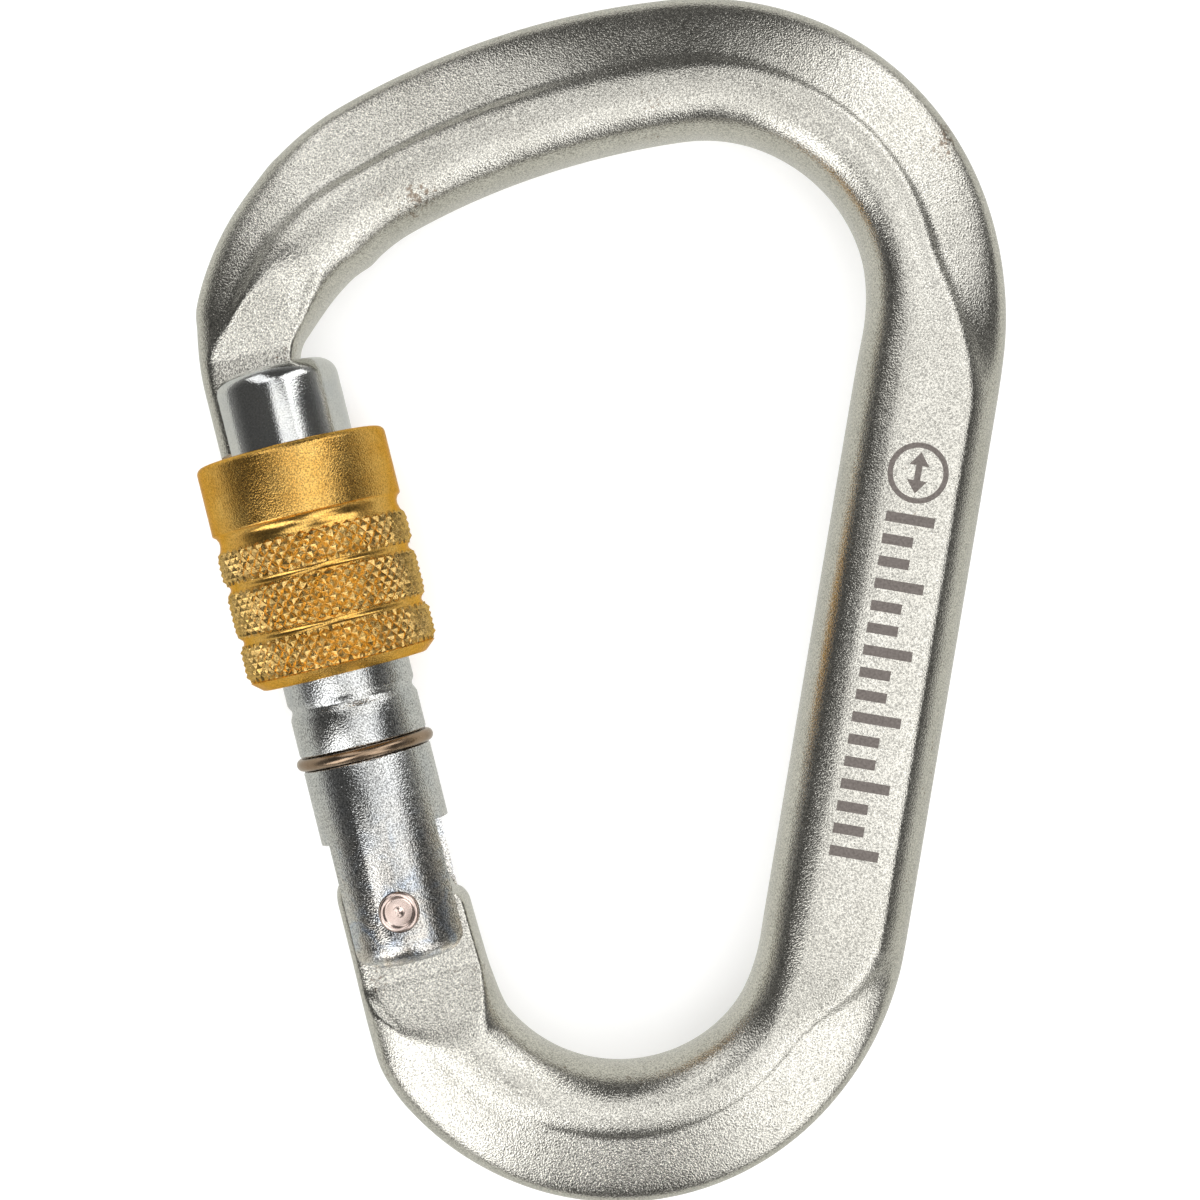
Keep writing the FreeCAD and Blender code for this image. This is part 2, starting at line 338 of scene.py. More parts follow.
def gold(name, low, high, grain_depth, dark=(0.84, 0.46, 0.10), light=(0.99, 0.62, 0.18)):
    """Gold anodising, with its lowest and highest roughness and the depth of its grain in millimetres."""
    made, tree, shader = material(name)
    cloud = ramp(tree, noise(tree, 2.5, 5.0, 0.65), ((0.3, dark), (0.7, light)))
    grain = noise(tree, 0.17, 2.0, 0.6)
    speckle = ramp(tree, grain, ((0.34, 0.42), (0.58, 1.0)))
    tree.links.new(mixed(tree, 0.8, cloud, speckle, "MULTIPLY"), shader.inputs["Base Color"])
    rough = ramp(tree, noise(tree, 1.2, 3.0), ((0.3, low), (0.7, high)))
    tree.links.new(rough, shader.inputs["Roughness"])
    shader.inputs["Specular Tint"].default_value = (1.0, 0.72, 0.35, 1.0)
    bumps(tree, shader, ((grain, 0.9, grain_depth),))
    return made


def plain_metal(name, dark, light, roughness, grain=0.3, depth=0.006):
    """Drawn or turned metal with fine marks."""
    made, tree, shader = material(name)
    cloud = ramp(tree, noise(tree, 1.5, 4.0, 0.6), ((0.3, dark), (0.7, light)))
    tree.links.new(cloud, shader.inputs["Base Color"])
    rough = ramp(tree, noise(tree, 0.8, 3.0), ((0.3, roughness * 0.8), (0.7, roughness * 1.25)))
    tree.links.new(rough, shader.inputs["Roughness"])
    bumps(tree, shader, ((noise(tree, grain, 3.0), 0.5, depth),))
    return made


def etched():
    """Grey-brown laser marking on the blasted steel."""
    made, tree, shader = material("etched_mark")
    shader.inputs["Metallic"].default_value = 0.35
    dark = (0.10, 0.085, 0.075)
    light = (0.20, 0.175, 0.16)
    cloud = ramp(tree, noise(tree, 0.22, 3.0, 0.6), ((0.3, dark), (0.7, light)))
    tree.links.new(cloud, shader.inputs["Base Color"])
    rough = ramp(tree, noise(tree, 0.5, 2.0), ((0.3, 0.5), (0.7, 0.7)))
    tree.links.new(rough, shader.inputs["Roughness"])
    bumps(tree, shader, ((noise(tree, 0.3, 2.0), 0.5, 0.03),))
    return made


def pale_floor():
    """Matt white table, faintly lit from within so that shadows stay light."""
    made, tree, shader = material("pale_floor")
    shader.inputs["Metallic"].default_value = 0.0
    cloud = ramp(tree, noise(tree, 60.0, 2.0), ((0.3, 0.86), (0.7, 0.90)))
    tree.links.new(cloud, shader.inputs["Base Color"])
    shader.inputs["Roughness"].default_value = 0.9
    tree.links.new(cloud, shader.inputs["Emission Color"])
    shader.inputs["Emission Strength"].default_value = 0.25
    return made


def grey_card():
    """Light grey card, which the metal's lower sides reflect in place of the white table."""
    made, tree, shader = material("grey_card")
    shader.inputs["Metallic"].default_value = 0.0
    cloud = ramp(tree, noise(tree, 60.0, 2.0), ((0.3, (0.70, 0.70, 0.65)), (0.7, (0.74, 0.74, 0.69))))
    tree.links.new(cloud, shader.inputs["Base Color"])
    shader.inputs["Roughness"].default_value = 0.9
    return made


METALS = {
    "body": blasted_steel(),
    "gate": plated_steel(),
    "sleeve": gold("gold_anodised", 0.18, 0.25, 0.05),
    "sleeve_groove": gold("gold_turned", 0.18, 0.26, 0.01),
    "knurl": gold("gold_knurled", 0.22, 0.32, 0.03, (0.82, 0.53, 0.16), (0.96, 0.65, 0.25)),
    "rivet": plain_metal("rivet_steel", (0.66, 0.52, 0.46), (0.80, 0.66, 0.60), 0.24, 0.5, 0.003),
    "ring": plain_metal("bronzed_wire", (0.30, 0.21, 0.14), (0.42, 0.31, 0.22), 0.24, 0.8, 0.004),
    "spring": plain_metal("spring_wire", (0.35, 0.35, 0.36), (0.5, 0.5, 0.5), 0.3),
    "plunger": plain_metal("plunger_steel", (0.5, 0.5, 0.5), (0.65, 0.65, 0.64), 0.25),
    "mark": etched(),
}


# ---------------------------------------------------------------- forged body

# Centreline of the bent bar. Its start is x, y and heading in degrees. Each bend to the right is a radius
# and an angle, and the straight spine is None and a length.
BAR_START = (-31.635, 20.005, 86.65)
BENDS = ((22.32, 47.65), (76.44, 22.44), (22.10, 88.75), (26.00, 17.81), (None, 56.76), (24.70, 16.00),
         (20.33, 122.54))

# Upper halves of the bar's sections, from the nose to the tang. Each point is a share of the width,
# counted from the inner edge, and a height above the middle plane.
SHOULDER = ((0, 0), (0.004, 1.7), (0.034, 3.3), (0.09, 4.5), (0.17, 5.15),
            (0.28, 5.45), (0.41, 5.5), (0.50, 5.35), (0.56, 5.0), (0.62, 4.45),
            (0.68, 4.0), (0.76, 3.7), (0.87, 3.2), (0.965, 2.2), (1, 0))
ARCH = ((0, 0), (0.002, 1.5), (0.022, 3.0), (0.064, 4.15), (0.125, 4.9),
        (0.20, 5.3), (0.30, 5.45), (0.41, 5.35), (0.475, 5.15), (0.525, 4.35),
        (0.57, 4.2), (0.865, 3.45), (0.947, 2.8), (0.99, 1.6), (1, 0))
TOP = ((0, 0), (0.002, 1.5), (0.022, 3.0), (0.064, 4.15), (0.125, 4.9),
       (0.20, 5.3), (0.30, 5.45), (0.41, 5.35), (0.47, 5.15), (0.535, 4.7),
       (0.58, 4.5), (0.865, 3.3), (0.947, 2.6), (0.99, 1.4), (1, 0))
CORNER = ((0, 0), (0.002, 1.5), (0.022, 3.0), (0.064, 4.15), (0.125, 4.9),
          (0.20, 5.3), (0.28, 5.4), (0.37, 5.22), (0.445, 5.3), (0.50, 4.75),
          (0.56, 4.6), (0.865, 3.75), (0.947, 3.0), (0.99, 1.6), (1, 0))
SPINE = ((0, 0), (0.001, 1.3), (0.018, 2.7), (0.058, 3.95), (0.124, 4.9),
         (0.21, 5.42), (0.293, 5.7), (0.52, 5.7), (0.757, 5.7), (0.81, 5.38),
         (0.878, 4.65), (0.937, 3.6), (0.975, 2.4), (0.996, 1.1), (1, 0))
BASKET = ((0, 0), (0.006, 1.5), (0.032, 2.8), (0.08, 3.9), (0.15, 4.7),
          (0.22, 5.15), (0.30, 5.35), (0.38, 5.3), (0.44, 5.1), (0.475, 4.8),
          (0.53, 4.65), (0.88, 3.7), (0.955, 3.0), (0.992, 1.5), (1, 0))
LOBE = ((0, 0), (0.006, 1.5), (0.032, 2.8), (0.08, 3.9), (0.15, 4.7),
        (0.22, 5.1), (0.30, 5.2), (0.40, 5.1), (0.47, 4.95), (0.53, 4.75),
        (0.60, 4.65), (0.85, 3.9), (0.94, 3.0), (0.988, 1.5), (1, 0))
TANG = ((0, 0), (0.006, 1.6), (0.03, 3.1), (0.075, 4.2), (0.12, 4.9),
        (0.20, 5.25), (0.38, 5.3), (0.62, 5.2), (0.74, 5.0), (0.83, 4.6),
        (0.90, 4.0), (0.945, 3.3), (0.975, 2.4), (0.995, 1.2), (1, 0))
PLATE_HALF = 3.2             # half thickness of the nose plate and of the hinge tang
NOSE_FOLD = 53.9             # distance along the gate at which the nose plate starts to rise
TANG_FOLD = -6.9             # the same on the tang
MIDWAY = 20.0                # distance along the gate that tells the nose's side from the tang's
MESH_STEP = 0.42             # length of the body's mesh faces along the bar


def on_bar(s):
    """Point of the centreline at distance s along it, and the direction of the bar's outer side there."""
    x, y, turn = BAR_START
    heading = math.radians(turn)
    for radius, size in BENDS:
        length = radius * math.radians(size) if radius else size
        part = min(s, length)
        if radius:
            x += radius * (math.sin(heading) - math.sin(heading - part / radius))
            y += radius * (math.cos(heading - part / radius) - math.cos(heading))
            heading -= part / radius
        else:
            x += part * math.cos(heading)
            y += part * math.sin(heading)
        s -= length
        if s < 0:
            break
    left = Vector((-math.sin(heading), math.cos(heading), 0))
    return Vector((x, y, 0)), left


def blend_sections(first, second, share):
    """A section part way between two."""
    return [(t0 + (t1 - t0) * share, z0 + (z1 - z0) * share) for (t0, z0), (t1, z1) in zip(first, second)]


def eased(value):
    """Smooth step from 0 to 1."""
    value = min(max(value, 0.0), 1.0)
    return value * value * (3 - 2 * value)


def section_at(s):
    """The bar's section at distance s along the centreline."""
    marks = ((7.0, SHOULDER), (18.0, ARCH), (30.0, ARCH), (42.0, TOP), (50.0, TOP), (64.0, CORNER),
             (80.0, CORNER), (96.0, SPINE), (146.0, SPINE), (158.0, BASKET), (180.0, BASKET), (192.0, LOBE))
    if s <= marks[0][0]:
        return list(marks[0][1])
    for (s0, first), (s1, second) in zip(marks, marks[1:]):
        if s <= s1:
            return blend_sections(first, second, eased((s - s0) / (s1 - s0)))
    return list(marks[-1][1])


def width_at(s):
    """Width of the bar seen from above, at distance s along the centreline."""
    marks = ((0, 13.4), (35, 13.6), (60, 13.1), (79, 12.75), (95, 13.65), (146, 13.65), (160, 12.95),
             (178, 13.2), (200, 13.4))
    for (s0, w0), (s1, w1) in zip(marks, marks[1:]):
        if s <= s1:
            return w0 + (w1 - w0) * eased((s - s0) / (s1 - s0))
    return marks[-1][1]


def gate_edges(pairs):
    """Edge points given in gate distances, as plain points in millimetres."""
    return [(at_gate(*outer) / MM, at_gate(*inner) / MM) for outer, inner in pairs]


def bar_stations():
    """Outer edge, inner edge and section of the body from the nose's tip to the top of its tang."""
    nose = gate_edges((
        ((-6.57, 45.10), (3.00, 45.50)), ((-6.57, 46.6), (2.95, 46.8)), ((-6.57, 48.6), (2.88, 48.8)),
        ((-6.57, 50.4), (2.85, 50.6)), ((-6.57, 51.9), (2.85, 51.9)), ((-6.50, 53.5), (3.02, 53.0)),
        ((-6.28, 55.4), (3.60, 54.1)), ((-5.90, 57.5), (4.60, 55.05)), ((-5.35, 59.9), (5.95, 56.25))))
    stations = [(outer, inner, SHOULDER) for outer, inner in nose]
    for s, v, a in ((3.2, 7.6, 57.6), (6.8, 9.75, 59.0)):
        middle, left = on_bar(s)
        stations.append((middle + left * width_at(s) / 2, at_gate(v, a) / MM, section_at(s)))
    s = 11.0
    while s < 195.5:
        middle, left = on_bar(s)
        half = width_at(s) / 2
        stations.append((middle + left * half, middle - left * half, section_at(s)))
        s += 1.6
    tang = gate_edges((
        ((-5.50, -16.1), (7.08, -11.55)), ((-5.94, -14.2), (6.88, -10.6)), ((-6.03, -12.0), (6.68, -9.1)),
        ((-6.05, -9.6), (6.50, -7.4)), ((-6.03, -7.0), (6.42, -5.7)), ((-6.0, -4.2), (6.34, -3.9)),
        ((-6.0, -1.6), (6.27, -1.9)),
        ((-6.0, 0.4), (6.20, -0.85)), ((-5.98, 1.9), (5.80, -0.1)), ((-5.70, 2.95), (5.20, 0.25)),
        ((-5.10, 3.6), (4.85, 1.4)), ((-4.30, 3.9), (4.40, 2.1))))
    sections = [blend_sections(LOBE, TANG, share) for share in (0.15, 0.4, 0.7)]
    sections += [TANG] * (len(tang) - len(sections))
    stations += [(outer, inner, cross) for (outer, inner), cross in zip(tang, sections)]
    return [(Vector((o.x, o.y, 0)), Vector((i.x, i.y, 0)), sec) for o, i, sec in stations]


def between(p0, p1, p2, p3, t):
    """Smooth curve through p1 and p2."""
    return 0.5 * (2 * p1 + (p2 - p0) * t + (2 * p0 - 5 * p1 + 4 * p2 - p3) * t * t
                  + (3 * p1 - p0 - 3 * p2 + p3) * t ** 3)


def lowest(first, second, soft):
    """The lower of two heights, with the edge between them rounded."""
    near = max(soft - abs(first - second), 0.0) / soft
    return max(min(first, second) - near * near * soft * 0.25, 0.0)


def pressed_softness(v, a):
    """How softly the pressed flats run into the bar: crisp at the nose's outer ridge and on the tang's inner
    side, broad elsewhere."""
    if a > MIDWAY:
        return 0.25 + 0.9 * eased((v + 1.0) / 5.0)
    return 0.6 + 1.0 * eased((-v - 2.0) / 3.0)


def pressed_height(v, a):
    """Height of the die-pressed flats: level on the nose plate and the tang, then rising to the bar."""
    if a > MIDWAY:
        rise = max(a - NOSE_FOLD, 0.0)
        inside = max(v - 3.0, 0.0)
        return PLATE_HALF + 0.25 * rise + 0.010 * rise * rise + 0.05 * inside * inside
    drop = max(TANG_FOLD - a, 0.0)
    outside = max(-0.84 * (v + 5.1) - 0.5425 * (a + 7.2), 0.0)
    return PLATE_HALF + 0.34 * drop + 0.9 * outside


def nose_hollow(v, a):
    """How far the face of the nose's tip is pushed in, which makes it slightly hollow."""
    if 44.5 < a < 46.4 and v < 4:
        return 0.25 * (1 - ((v + 1.8) / 4.8) ** 2) * min(1.0, (46.4 - a) / 0.6)
    return 0.0


def half_outline(outer, inner, section):
    """Points of the upper half of the body at one place, each with its height above the middle plane."""
    upper = []
    for share, z in rounded(section):
        spot = inner + (outer - inner) * share
        local = spot * MM - RIVET
        v = local.dot(ACROSS) / MM
        a = local.dot(AXIS) / MM
        if -20 < a < 75 and -8 < v < 12:
            z = lowest(z, pressed_height(v, a), pressed_softness(v, a))
        upper.append((spot + AXIS * nose_hollow(v, a), z))
    return upper


def body_rows():
    """Outer edge, inner edge and section of the body at every row of its mesh."""
    stations = bar_stations()
    ends = [stations[0]] + stations + [stations[-1]]
    rows = []
    for i in range(len(stations) - 1):
        (o0, i0), (o1, i1), (o2, i2), (o3, i3) = [station[:2] for station in ends[i:i + 4]]
        gap = max((o2 - o1).length, (i2 - i1).length)
        steps = max(1, round(gap / MESH_STEP))
        for k in range(steps):
            t = k / steps
            section = blend_sections(stations[i][2], stations[i + 1][2], t)
            rows.append((between(o0, o1, o2, o3, t), between(i0, i1, i2, i3, t), section))
    rows.append(stations[-1])
    return rows


def body_mesh():
    """The forged body as one closed skin, its lower half a mirror image of the upper."""
    middle = MID_Z / MM
    rings = []
    for outer, inner, section in body_rows():
        upper = half_outline(outer, inner, section)
        ring = [Vector((p.x, p.y, middle + z)) * MM for p, z in upper]
        ring += [Vector((p.x, p.y, middle - z)) * MM for p, z in upper[-2:0:-1]]
        rings.append(ring)
    body = tube("forged_body", rings, METALS["body"])
    hook_notch = block(((0.6, 48.3), (4.5, 48.3), (4.5, 50.2), (0.6, 50.2)), 5)
    plunger_seat = block(((-0.4, 2.1), (6.0, 2.1), (6.0, 6.0), (-1.2, 6.0)), 5)
    rivet_hole = rod(at_gate(0, 0, -5), at_gate(0, 0, 5), 1.55)
    cut(body, (hook_notch, plunger_seat, rivet_hole))
    shade(body, 50.0)
    return body


def mark_plate(points, faces, corners, levels):
    """Adds a thin closed plate between two levels to the etched mark."""
    first = len(points)
    n = len(corners)
    for z in levels:
        points.extend(Vector((x * MM, y * MM, z)) for x, y in corners)
    faces.append(tuple(range(first, first + n)))
    faces.append(tuple(range(first + 2 * n - 1, first + n - 1, -1)))
    for i in range(n):
        k = (i + 1) % n
        faces.append((first + i, first + k, first + n + k, first + n + i))


def mark_ring(points, faces, x, y, inner, outer, levels):
    """Adds a thin closed ring between two levels to the etched mark."""
    steps = 72
    first = len(points)
    upper, lower = levels
    for i in range(steps):
        angle = 2 * math.pi * i / steps
        for r, z in ((inner, upper), (outer, upper), (outer, lower), (inner, lower)):
            points.append(Vector(((x + r * math.cos(angle)) * MM, (y + r * math.sin(angle)) * MM, z)))
        here = first + 4 * i
        there = first + 4 * ((i + 1) % steps)
        for j in range(4):
            k = (j + 1) % 4
            faces.append((here + j, there + j, there + k, here + k))


def spine_mark():
    """Generic etched marking on the spine's land: a ring round a double-headed arrow, and a plain scale.
    Its shapes are sunk into the land and stand a hundredth of a millimetre above it."""
    levels = (MID_Z + 5.712 * MM, MID_Z + 5.66 * MM)
    x = 31.4
    y = 15.7
    points = []
    faces = []
    mark_ring(points, faces, x, y, 2.35, 2.85, levels)
    half_arrow = ((0.95, 0.7), (0.3, 0.7), (0.3, -0.7), (0.95, -0.7), (0, -1.95))
    arrow = [(x - dx, y + dy) for dx, dy in half_arrow] + [(x + dx, y - dy) for dx, dy in half_arrow]
    mark_plate(points, faces, arrow, levels)
    for i in range(16):
        bar_y = 11.3 - 2.1 * i
        left = x - 2.3
        right = x + (2.3 if i % 3 == 0 else 0.6)
        low = bar_y - 0.48
        high = bar_y + 0.48
        mark_plate(points, faces, [(left, low), (right, low), (right, high), (left, high)], levels)
    return new_object("etched_mark", points, faces, METALS["mark"])


# ---------------------------------------------------------------- gate

BARREL_R = 6.15
SLOT_HALF = 3.4              # half width of the slots for the tang and the nose
THREAD_ROOT_R = 5.82
THREAD_STEP = 1.5            # distance between the grooves on the gate
SPRING_V = 1.8               # the bore, the spring and the plunger lie this far from the gate's axis


def fillet(centre_r, centre_a, radius, first, last, steps=8):
    """Points round a corner of a turned profile."""
    made = []
    for i in range(steps + 1):
        angle = math.radians(first + (last - first) * i / steps)
        made.append((centre_r + radius * math.cos(angle), centre_a + radius * math.sin(angle)))
    return made


def barrel_mesh():
    """Turned gate with its grooves, slots and bores."""
    r = BARREL_R
    profile = [(0.02, -5.1), (2.2, -5.08)] + fillet(r - 1.9, -3.2, 1.9, -88, 0)
    profile += [(r, 14.2), (r - 0.08, 14.4), (5.4, 14.45), (5.4, 15.75), (r - 0.08, 15.8), (r, 16.0)]
    profile += [(r, 19.35), (r - 0.06, 19.55), (r - 0.28, 20.0), (r - 0.3, 20.15), (r - 0.28, 20.3),
                (r - 0.05, 20.7), (r, 20.85)]
    a = 25.0
    while a < 36.0:
        profile += [(r, a), (THREAD_ROOT_R, a + 0.45), (THREAD_ROOT_R, a + 0.65), (r, a + 1.1)]
        a += THREAD_STEP
    profile += [(r, 40.0), (r, 48.0)] + fillet(r - 1.8, 50.6, 1.8, 0, 88) + [(2.0, 52.4), (0.02, 52.4)]
    barrel = turned("gate_shell", profile, METALS["gate"], 224, closed=False)
    close_ends(barrel)
    tang_slot = block(((-8, -6.5), (8, -6.5), (8, 7.3), (-8, 7.3)), SLOT_HALF)
    nose_slot = block(((-8, 44.4), (3.3, 44.4), (3.3, 48.6), (0.9, 48.6), (0.9, 50.0), (3.3, 50.0),
                       (3.3, 54), (-8, 54)), SLOT_HALF)
    bore = rod(at_gate(SPRING_V, 5), at_gate(SPRING_V, 22.05), 1.92)
    rivet_hole = rod(at_gate(0, 0, -8), at_gate(0, 0, 8), 1.51)
    seats = [rod(at_gate(0, 0, side * 5.75), at_gate(0, 0, side * 8), 1.94) for side in (-1, 1)]
    cut(barrel, [tang_slot, nose_slot, bore, rivet_hole] + seats)
    ease_edges(barrel, 0.16)
    return barrel


def close_ends(piece):
    """Fills a turned body's open ends."""
    work = bmesh.new()
    work.from_mesh(piece.data)
    bmesh.ops.holes_fill(work, edges=work.edges, sides=0)
    bmesh.ops.recalc_face_normals(work, faces=work.faces)
    work.to_mesh(piece.data)
    work.free()


def rivet_mesh():
    """Rivet with a dished head at each end: raised rim, flat floor, punched centre."""
    half = [(1.5, 0.0), (1.5, 5.6), (1.80, 5.72), (1.88, 5.9), (1.88, 6.08), (1.82, 6.2), (1.72, 6.27),
            (1.6, 6.29), (1.48, 6.26), (1.38, 6.18), (1.32, 6.11), (1.2, 6.09), (0.6, 6.09), (0.44, 6.08),
            (0.34, 6.04), (0.2, 5.98), (0.02, 5.96)]
    profile = [(r, -z) for r, z in reversed(half[1:])] + half
    right = Vector((1, 0, 0))
    away = Vector((0, 1, 0))
    rings = [circle(at_gate(0, 0, z), right, away, r * MM, 96) for r, z in profile]
    return tube("rivet", rings, METALS["rivet"])


def ring_mesh():
    """Round wire ring with a small gap underneath."""
    gap = 5.0
    steps = 180
    rings = []
    for i in range(steps + 1):
        angle = math.radians(-90 + gap / 2 + (360 - gap) * i / steps)
        out = ACROSS * math.cos(angle) + UP * math.sin(angle)
        rings.append(circle(at_gate(0, 15.1) + out * 6.04 * MM, out, AXIS, 0.6 * MM, 20))
    return tube("wire_ring", rings, METALS["ring"])


def spring_mesh():
    """Compression spring on the plunger's line, with a closed coil at each end."""
    first = 12.8
    last = 21.72
    coil_r = 1.5
    wire_r = 0.25
    closed_pitch = 0.52
    turns = 9
    open_pitch = (last - first - 2 * closed_pitch) / (turns - 2)
    rings = []
    for i in range(turns * 36 + 1):
        turn = i / 36
        closed_turns = min(turn, 1) + max(turn - turns + 1, 0)
        open_turns = min(max(turn - 1, 0), turns - 2)
        a = first + closed_pitch * closed_turns + open_pitch * open_turns
        angle = 2 * math.pi * turn
        out = ACROSS * math.cos(angle) + UP * math.sin(angle)
        rings.append(circle(at_gate(SPRING_V, a) + out * coil_r * MM, out, AXIS, wire_r * MM, 12))
    return tube("coil_spring", rings, METALS["spring"])


# ---------------------------------------------------------------- sleeve

KNURL_BANDS = ((23.85, 27.4), (28.0, 32.6), (33.2, 36.5))
SMOOTH_GROOVES = ((27.4, 28.0), (32.6, 33.2), (36.5, 38.05))
KNURL_R = 9.25
KNURL_DEPTH = 0.33
KNURL_FLAT = 0.9             # share of a point's height at which its tip is cut flat
KNURL_COUNT = 50             # points round the sleeve
KNURL_PITCH = 1.15           # along the sleeve
FINE = 4                     # mesh steps to each point


def sleeve_mesh():
    """Screw sleeve's plain parts: bore, ends, head band and the grooves between the knurls."""
    low = KNURL_R - KNURL_DEPTH - 0.1
    foot = [(6.65, 22.8), (7.75, 22.8), (7.95, 22.86), (8.95, 23.72), (low, 23.86)]
    grooves = [(low, 27.38), (8.72, 27.5), (8.66, 27.7), (8.72, 27.9), (low, 28.02),
               (low, 32.58), (8.72, 32.7), (8.66, 32.9), (8.72, 33.1), (low, 33.22),
               (low, 36.48), (8.74, 36.7), (8.64, 37.1), (8.66, 37.5), (8.84, 37.85), (9.1, 38.05)]
    head = fillet(9.02, 38.17, 0.12, -40, 0, 3) + fillet(8.49, 44.05, 0.65, 0, 90)
    lip = [(8.1, 44.7)] + fillet(7.95, 44.45, 0.25, 90, 180, 4)
    bore = [(7.7, 37.9), (6.35, 37.0), (6.35, 23.1)]
    profile = foot + grooves + head + lip + bore
    sleeve = turned("screw_sleeve", profile, METALS["sleeve"], 240)
    sleeve.data.materials.append(METALS["sleeve_groove"])
    for face in sleeve.data.polygons:
        local = face.center - RIVET
        a = local.dot(AXIS) / MM
        r = (local - AXIS * local.dot(AXIS)).length / MM
        if r > 8.0 and any(start < a < end for start, end in SMOOTH_GROOVES):
            face.material_index = 1
    return sleeve


def to_groove(steps):
    """0 on a groove of the knurl, 1 midway between two."""
    part = (steps % FINE) / FINE
    return 2 * min(part, 1 - part)


def knurl_faces(here, right, across, up, falling):
    """A square of the knurl's mesh as two triangles, split along the groove or ridge that crosses it."""
    if falling:
        return [(here, right, up), (right, across, up)]
    return [(here, right, across), (here, across, up)]


def knurl_mesh():
    """Diamond knurling: rows of four-sided points between two sets of slanting grooves, a little chipped.
    Each band is closed on the inside, within the sleeve's own wall."""
    points = []
    faces = []
    around = FINE * KNURL_COUNT
    for low, high in KNURL_BANDS:
        rows = round((high - low) / KNURL_PITCH * FINE)
        phase = random.randrange(FINE)
        number = {}
        for j in range(-1, rows + 2):
            row = min(max(j, 0), rows)
            a = low + (high - low) * row / rows + 0.03 * (j - row)
            rim = min(a - low, high - a)
            drop = 0.30 * (1 - eased(rim / 0.55)) if j == row else 0.62
            for i in range(around):
                height = min(to_groove(i + row + phase), to_groove(i - row - phase), KNURL_FLAT)
                chip = random.uniform(-0.05, 0.03) * (j == row)
                if height > 0.8:
                    chip = min(chip, 0.0)
                angle = 2 * math.pi * (i + random.uniform(-0.12, 0.12)) / around
                out = ACROSS * math.cos(angle) + UP * math.sin(angle)
                r = KNURL_R - KNURL_DEPTH * (1 - height / KNURL_FLAT) - drop + chip
                number[i, j] = len(points)
                points.append(RIVET + (out * r + AXIS * a) * MM)
        for i in range(around):
            k = (i + 1) % around
            for j in range(-1, rows + 1):
                faces += knurl_faces(number[i, j], number[k, j], number[k, j + 1], number[i, j + 1],
                                     to_groove(i + j + phase + 1.0) < to_groove(i - j - phase))
            faces.append((number[i, rows + 1], number[k, rows + 1], number[k, -1], number[i, -1]))
    return new_object("sleeve_knurl", points, faces, METALS["knurl"], 12.0)


# ---------------------------------------------------------------- putting it together

def place(piece, body, slot, *nodes):
    """Joins a piece to its body and hides the CAD nodes that it stands for."""
    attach(piece, body)
    if nodes:
        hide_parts(*nodes)


place(body_mesh(), "body", "body_steel", "frame")
place(spine_mark(), "body", "body_steel")
place(barrel_mesh(), "gate", "gate_steel", "gate_barrel")
place(rivet_mesh(), "gate", "rivet_steel", "hinge_rivet")
place(ring_mesh(), "ring", "ring_steel", "stop_ring")
place(sleeve_mesh(), "sleeve", "sleeve_anodised", "locking_sleeve")
place(knurl_mesh(), "sleeve", "sleeve_anodised")
spring = spring_mesh()
place(spring, "gate", "spring_steel", "return_spring")
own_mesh(spring)
plunger = frame["nodes"]["spring_plunger"]
plunger.data.materials.clear()
plunger.data.materials.append(METALS["plunger"])


# ---------------------------------------------------------------- floor, light and camera

def tent_cloth():
    """Dark cloth above, pale near the table: the glow that the metal reflects."""
    made = bpy.data.materials.new("tent_cloth")
    made.use_nodes = True
    tree = made.node_tree
    tree.nodes.clear()
    where = tree.nodes.new("ShaderNodeTexCoord")
    parts = tree.nodes.new("ShaderNodeSeparateXYZ")
    tree.links.new(where.outputs["Object"], parts.inputs["Vector"])
    height = ramp(tree, parts.outputs["Z"], ((0.0, 0.32), (0.30, 0.21), (0.70, 0.10), (1.0, 0.075)))
    shine = tree.nodes.new("ShaderNodeEmission")
    shine.inputs["Color"].default_value = (1.0, 0.99, 0.96, 1.0)
    tree.links.new(height, shine.inputs["Strength"])
    result = tree.nodes.new("ShaderNodeOutputMaterial")
    tree.links.new(shine.outputs["Emission"], result.inputs["Surface"])
    return made


def reflected_only(piece):
    """Hides a stage piece from everything but reflections."""
    piece.visible_camera = False
    piece.visible_diffuse = False
    piece.visible_shadow = False
    piece.visible_transmission = False
    piece.visible_volume_scatter = False


def floor():
    """Wide pale table under the carabiner, and the card that stands in for it in reflections."""
    size = 3.0
    points = [Vector((x * size, y * size, -0.02 * MM)) for x, y in ((-1, -1), (1, -1), (1, 1), (-1, 1))]
    table = new_object("floor", points, [(0, 1, 2, 3)], pale_floor())
    table.visible_glossy = False
    card = new_object("grey_card", points, [(0, 1, 2, 3)], grey_card())
    card.location.z = -0.1 * MM
    reflected_only(card)


def dark_tent():
    """Dark dome round the table, seen only in reflections: it gives the bright metal its contrast."""
    rings = 16
    columns = 48
    points = []
    for i in range(rings + 1):
        lift = math.radians(0.5 + 89.0 * i / rings)
        for j in range(columns):
            turn = 2 * math.pi * j / columns
            points.append(Vector((math.cos(turn) * math.cos(lift), math.sin(turn) * math.cos(lift),
                                  math.sin(lift))) * 2.0)
    dome = new_object("dark_tent", points, between_rings(rings + 1, columns), tent_cloth())
    reflected_only(dome)


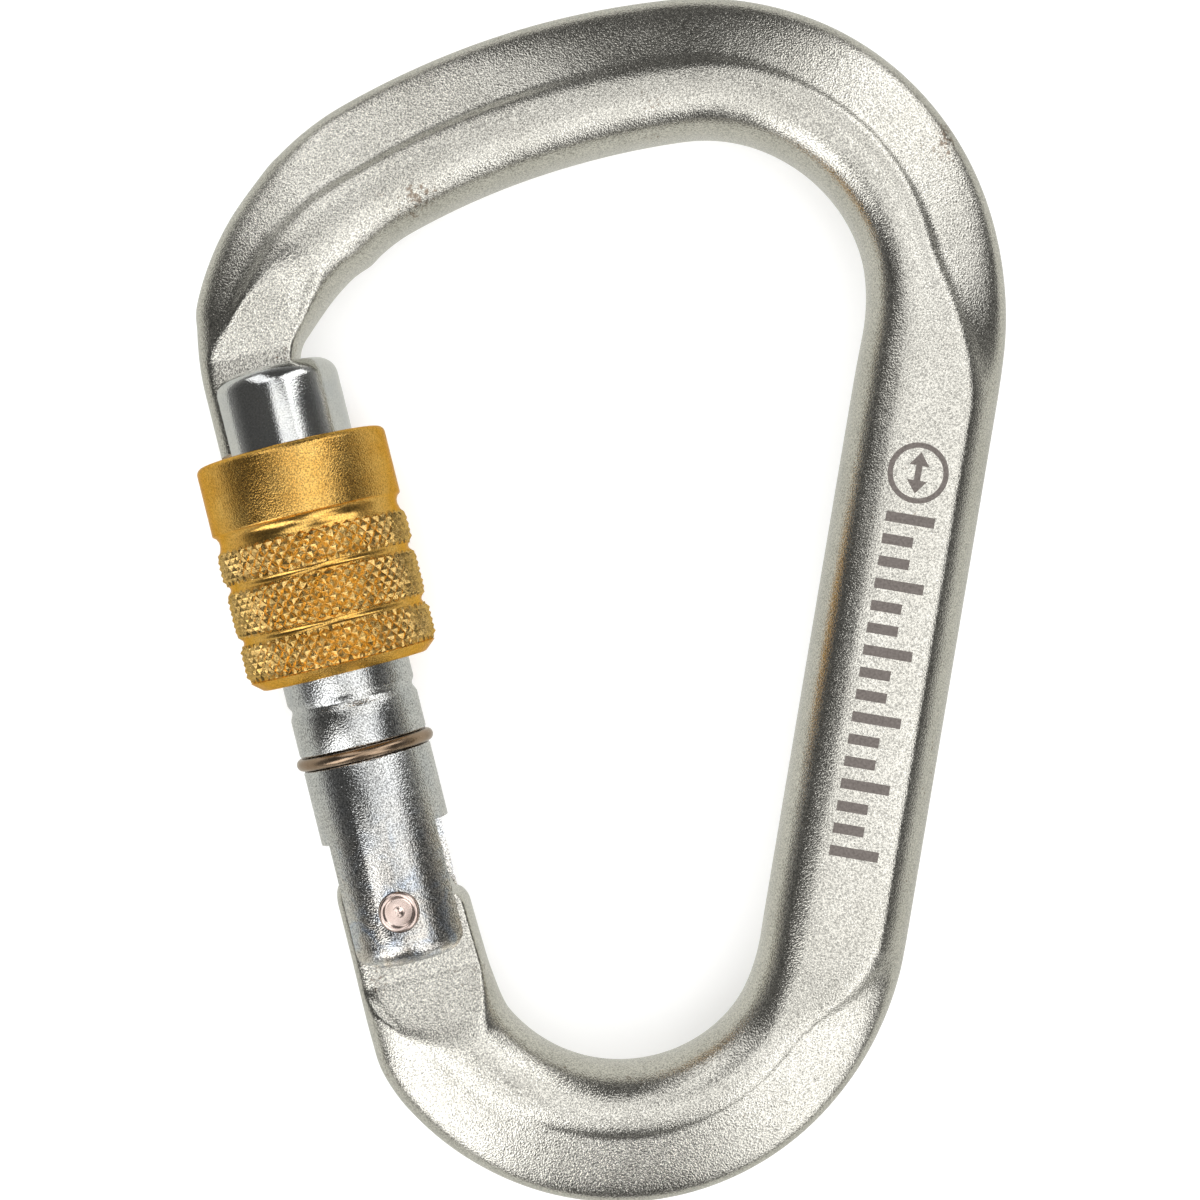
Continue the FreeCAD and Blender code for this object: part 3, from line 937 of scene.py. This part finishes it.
def panel(name, spot, wide, tall, brightness):
    """Soft light panel aimed at the middle of the table, with the given brightness per area."""
    lamp = bpy.data.lights.new(name, "AREA")
    lamp.shape = "RECTANGLE"
    lamp.size = wide
    lamp.size_y = tall
    lamp.energy = brightness * math.pi * wide * tall
    holder = bpy.data.objects.new(name, lamp)
    bpy.context.scene.collection.objects.link(holder)
    holder.location = spot
    holder.rotation_euler = (-Vector(spot)).to_track_quat("-Z", "Y").to_euler()


def panels():
    """Three panels overhead and four round the table. Distances are in metres."""
    panel("overhead", (0.18, 0.0, 0.60), 0.36, 0.58, 1.25)
    panel("overhead_left", (-0.12, 0.24, 0.60), 0.22, 0.16, 1.2)
    panel("overhead_low", (-0.05, -0.17, 0.60), 0.13, 0.13, 1.0)
    lift = math.radians(41)
    for azimuth, wide, tall, brightness in ((-117, 0.50, 0.84, 2.2), (-43, 0.40, 0.80, 1.7),
                                            (57, 0.38, 0.80, 1.9), (137, 0.36, 0.80, 1.3)):
        turn = math.radians(azimuth)
        flat = math.cos(lift)
        spot = Vector((math.cos(turn) * flat, math.sin(turn) * flat, math.sin(lift))) * 0.9
        panel("corner_light", spot, wide, tall, brightness)


def world():
    """Even white room, which lights the table."""
    made = bpy.data.worlds.new("studio")
    made.use_nodes = True
    made.node_tree.nodes["Background"].inputs["Color"].default_value = (1.0, 1.0, 1.0, 1)
    made.node_tree.nodes["Background"].inputs["Strength"].default_value = 0.85
    bpy.context.scene.world = made


def camera():
    """Looks straight down at the carabiner from about a quarter of a metre."""
    lens = bpy.data.cameras.new("camera")
    lens.sensor_width = 36.0
    lens.lens = 75.6
    lens.shift_x = 0.0108
    lens.shift_y = -0.0425
    lens.clip_start = 0.01
    holder = bpy.data.objects.new("camera", lens)
    bpy.context.scene.collection.objects.link(holder)
    holder.location = (2.22 * MM, 3.61 * MM, MID_Z + 0.240)
    holder.rotation_euler = (0, 0, math.radians(9.58))
    bpy.context.scene.camera = holder


floor()
dark_tent()
world()
panels()
camera()
bpy.context.scene.view_settings.view_transform = "Standard"
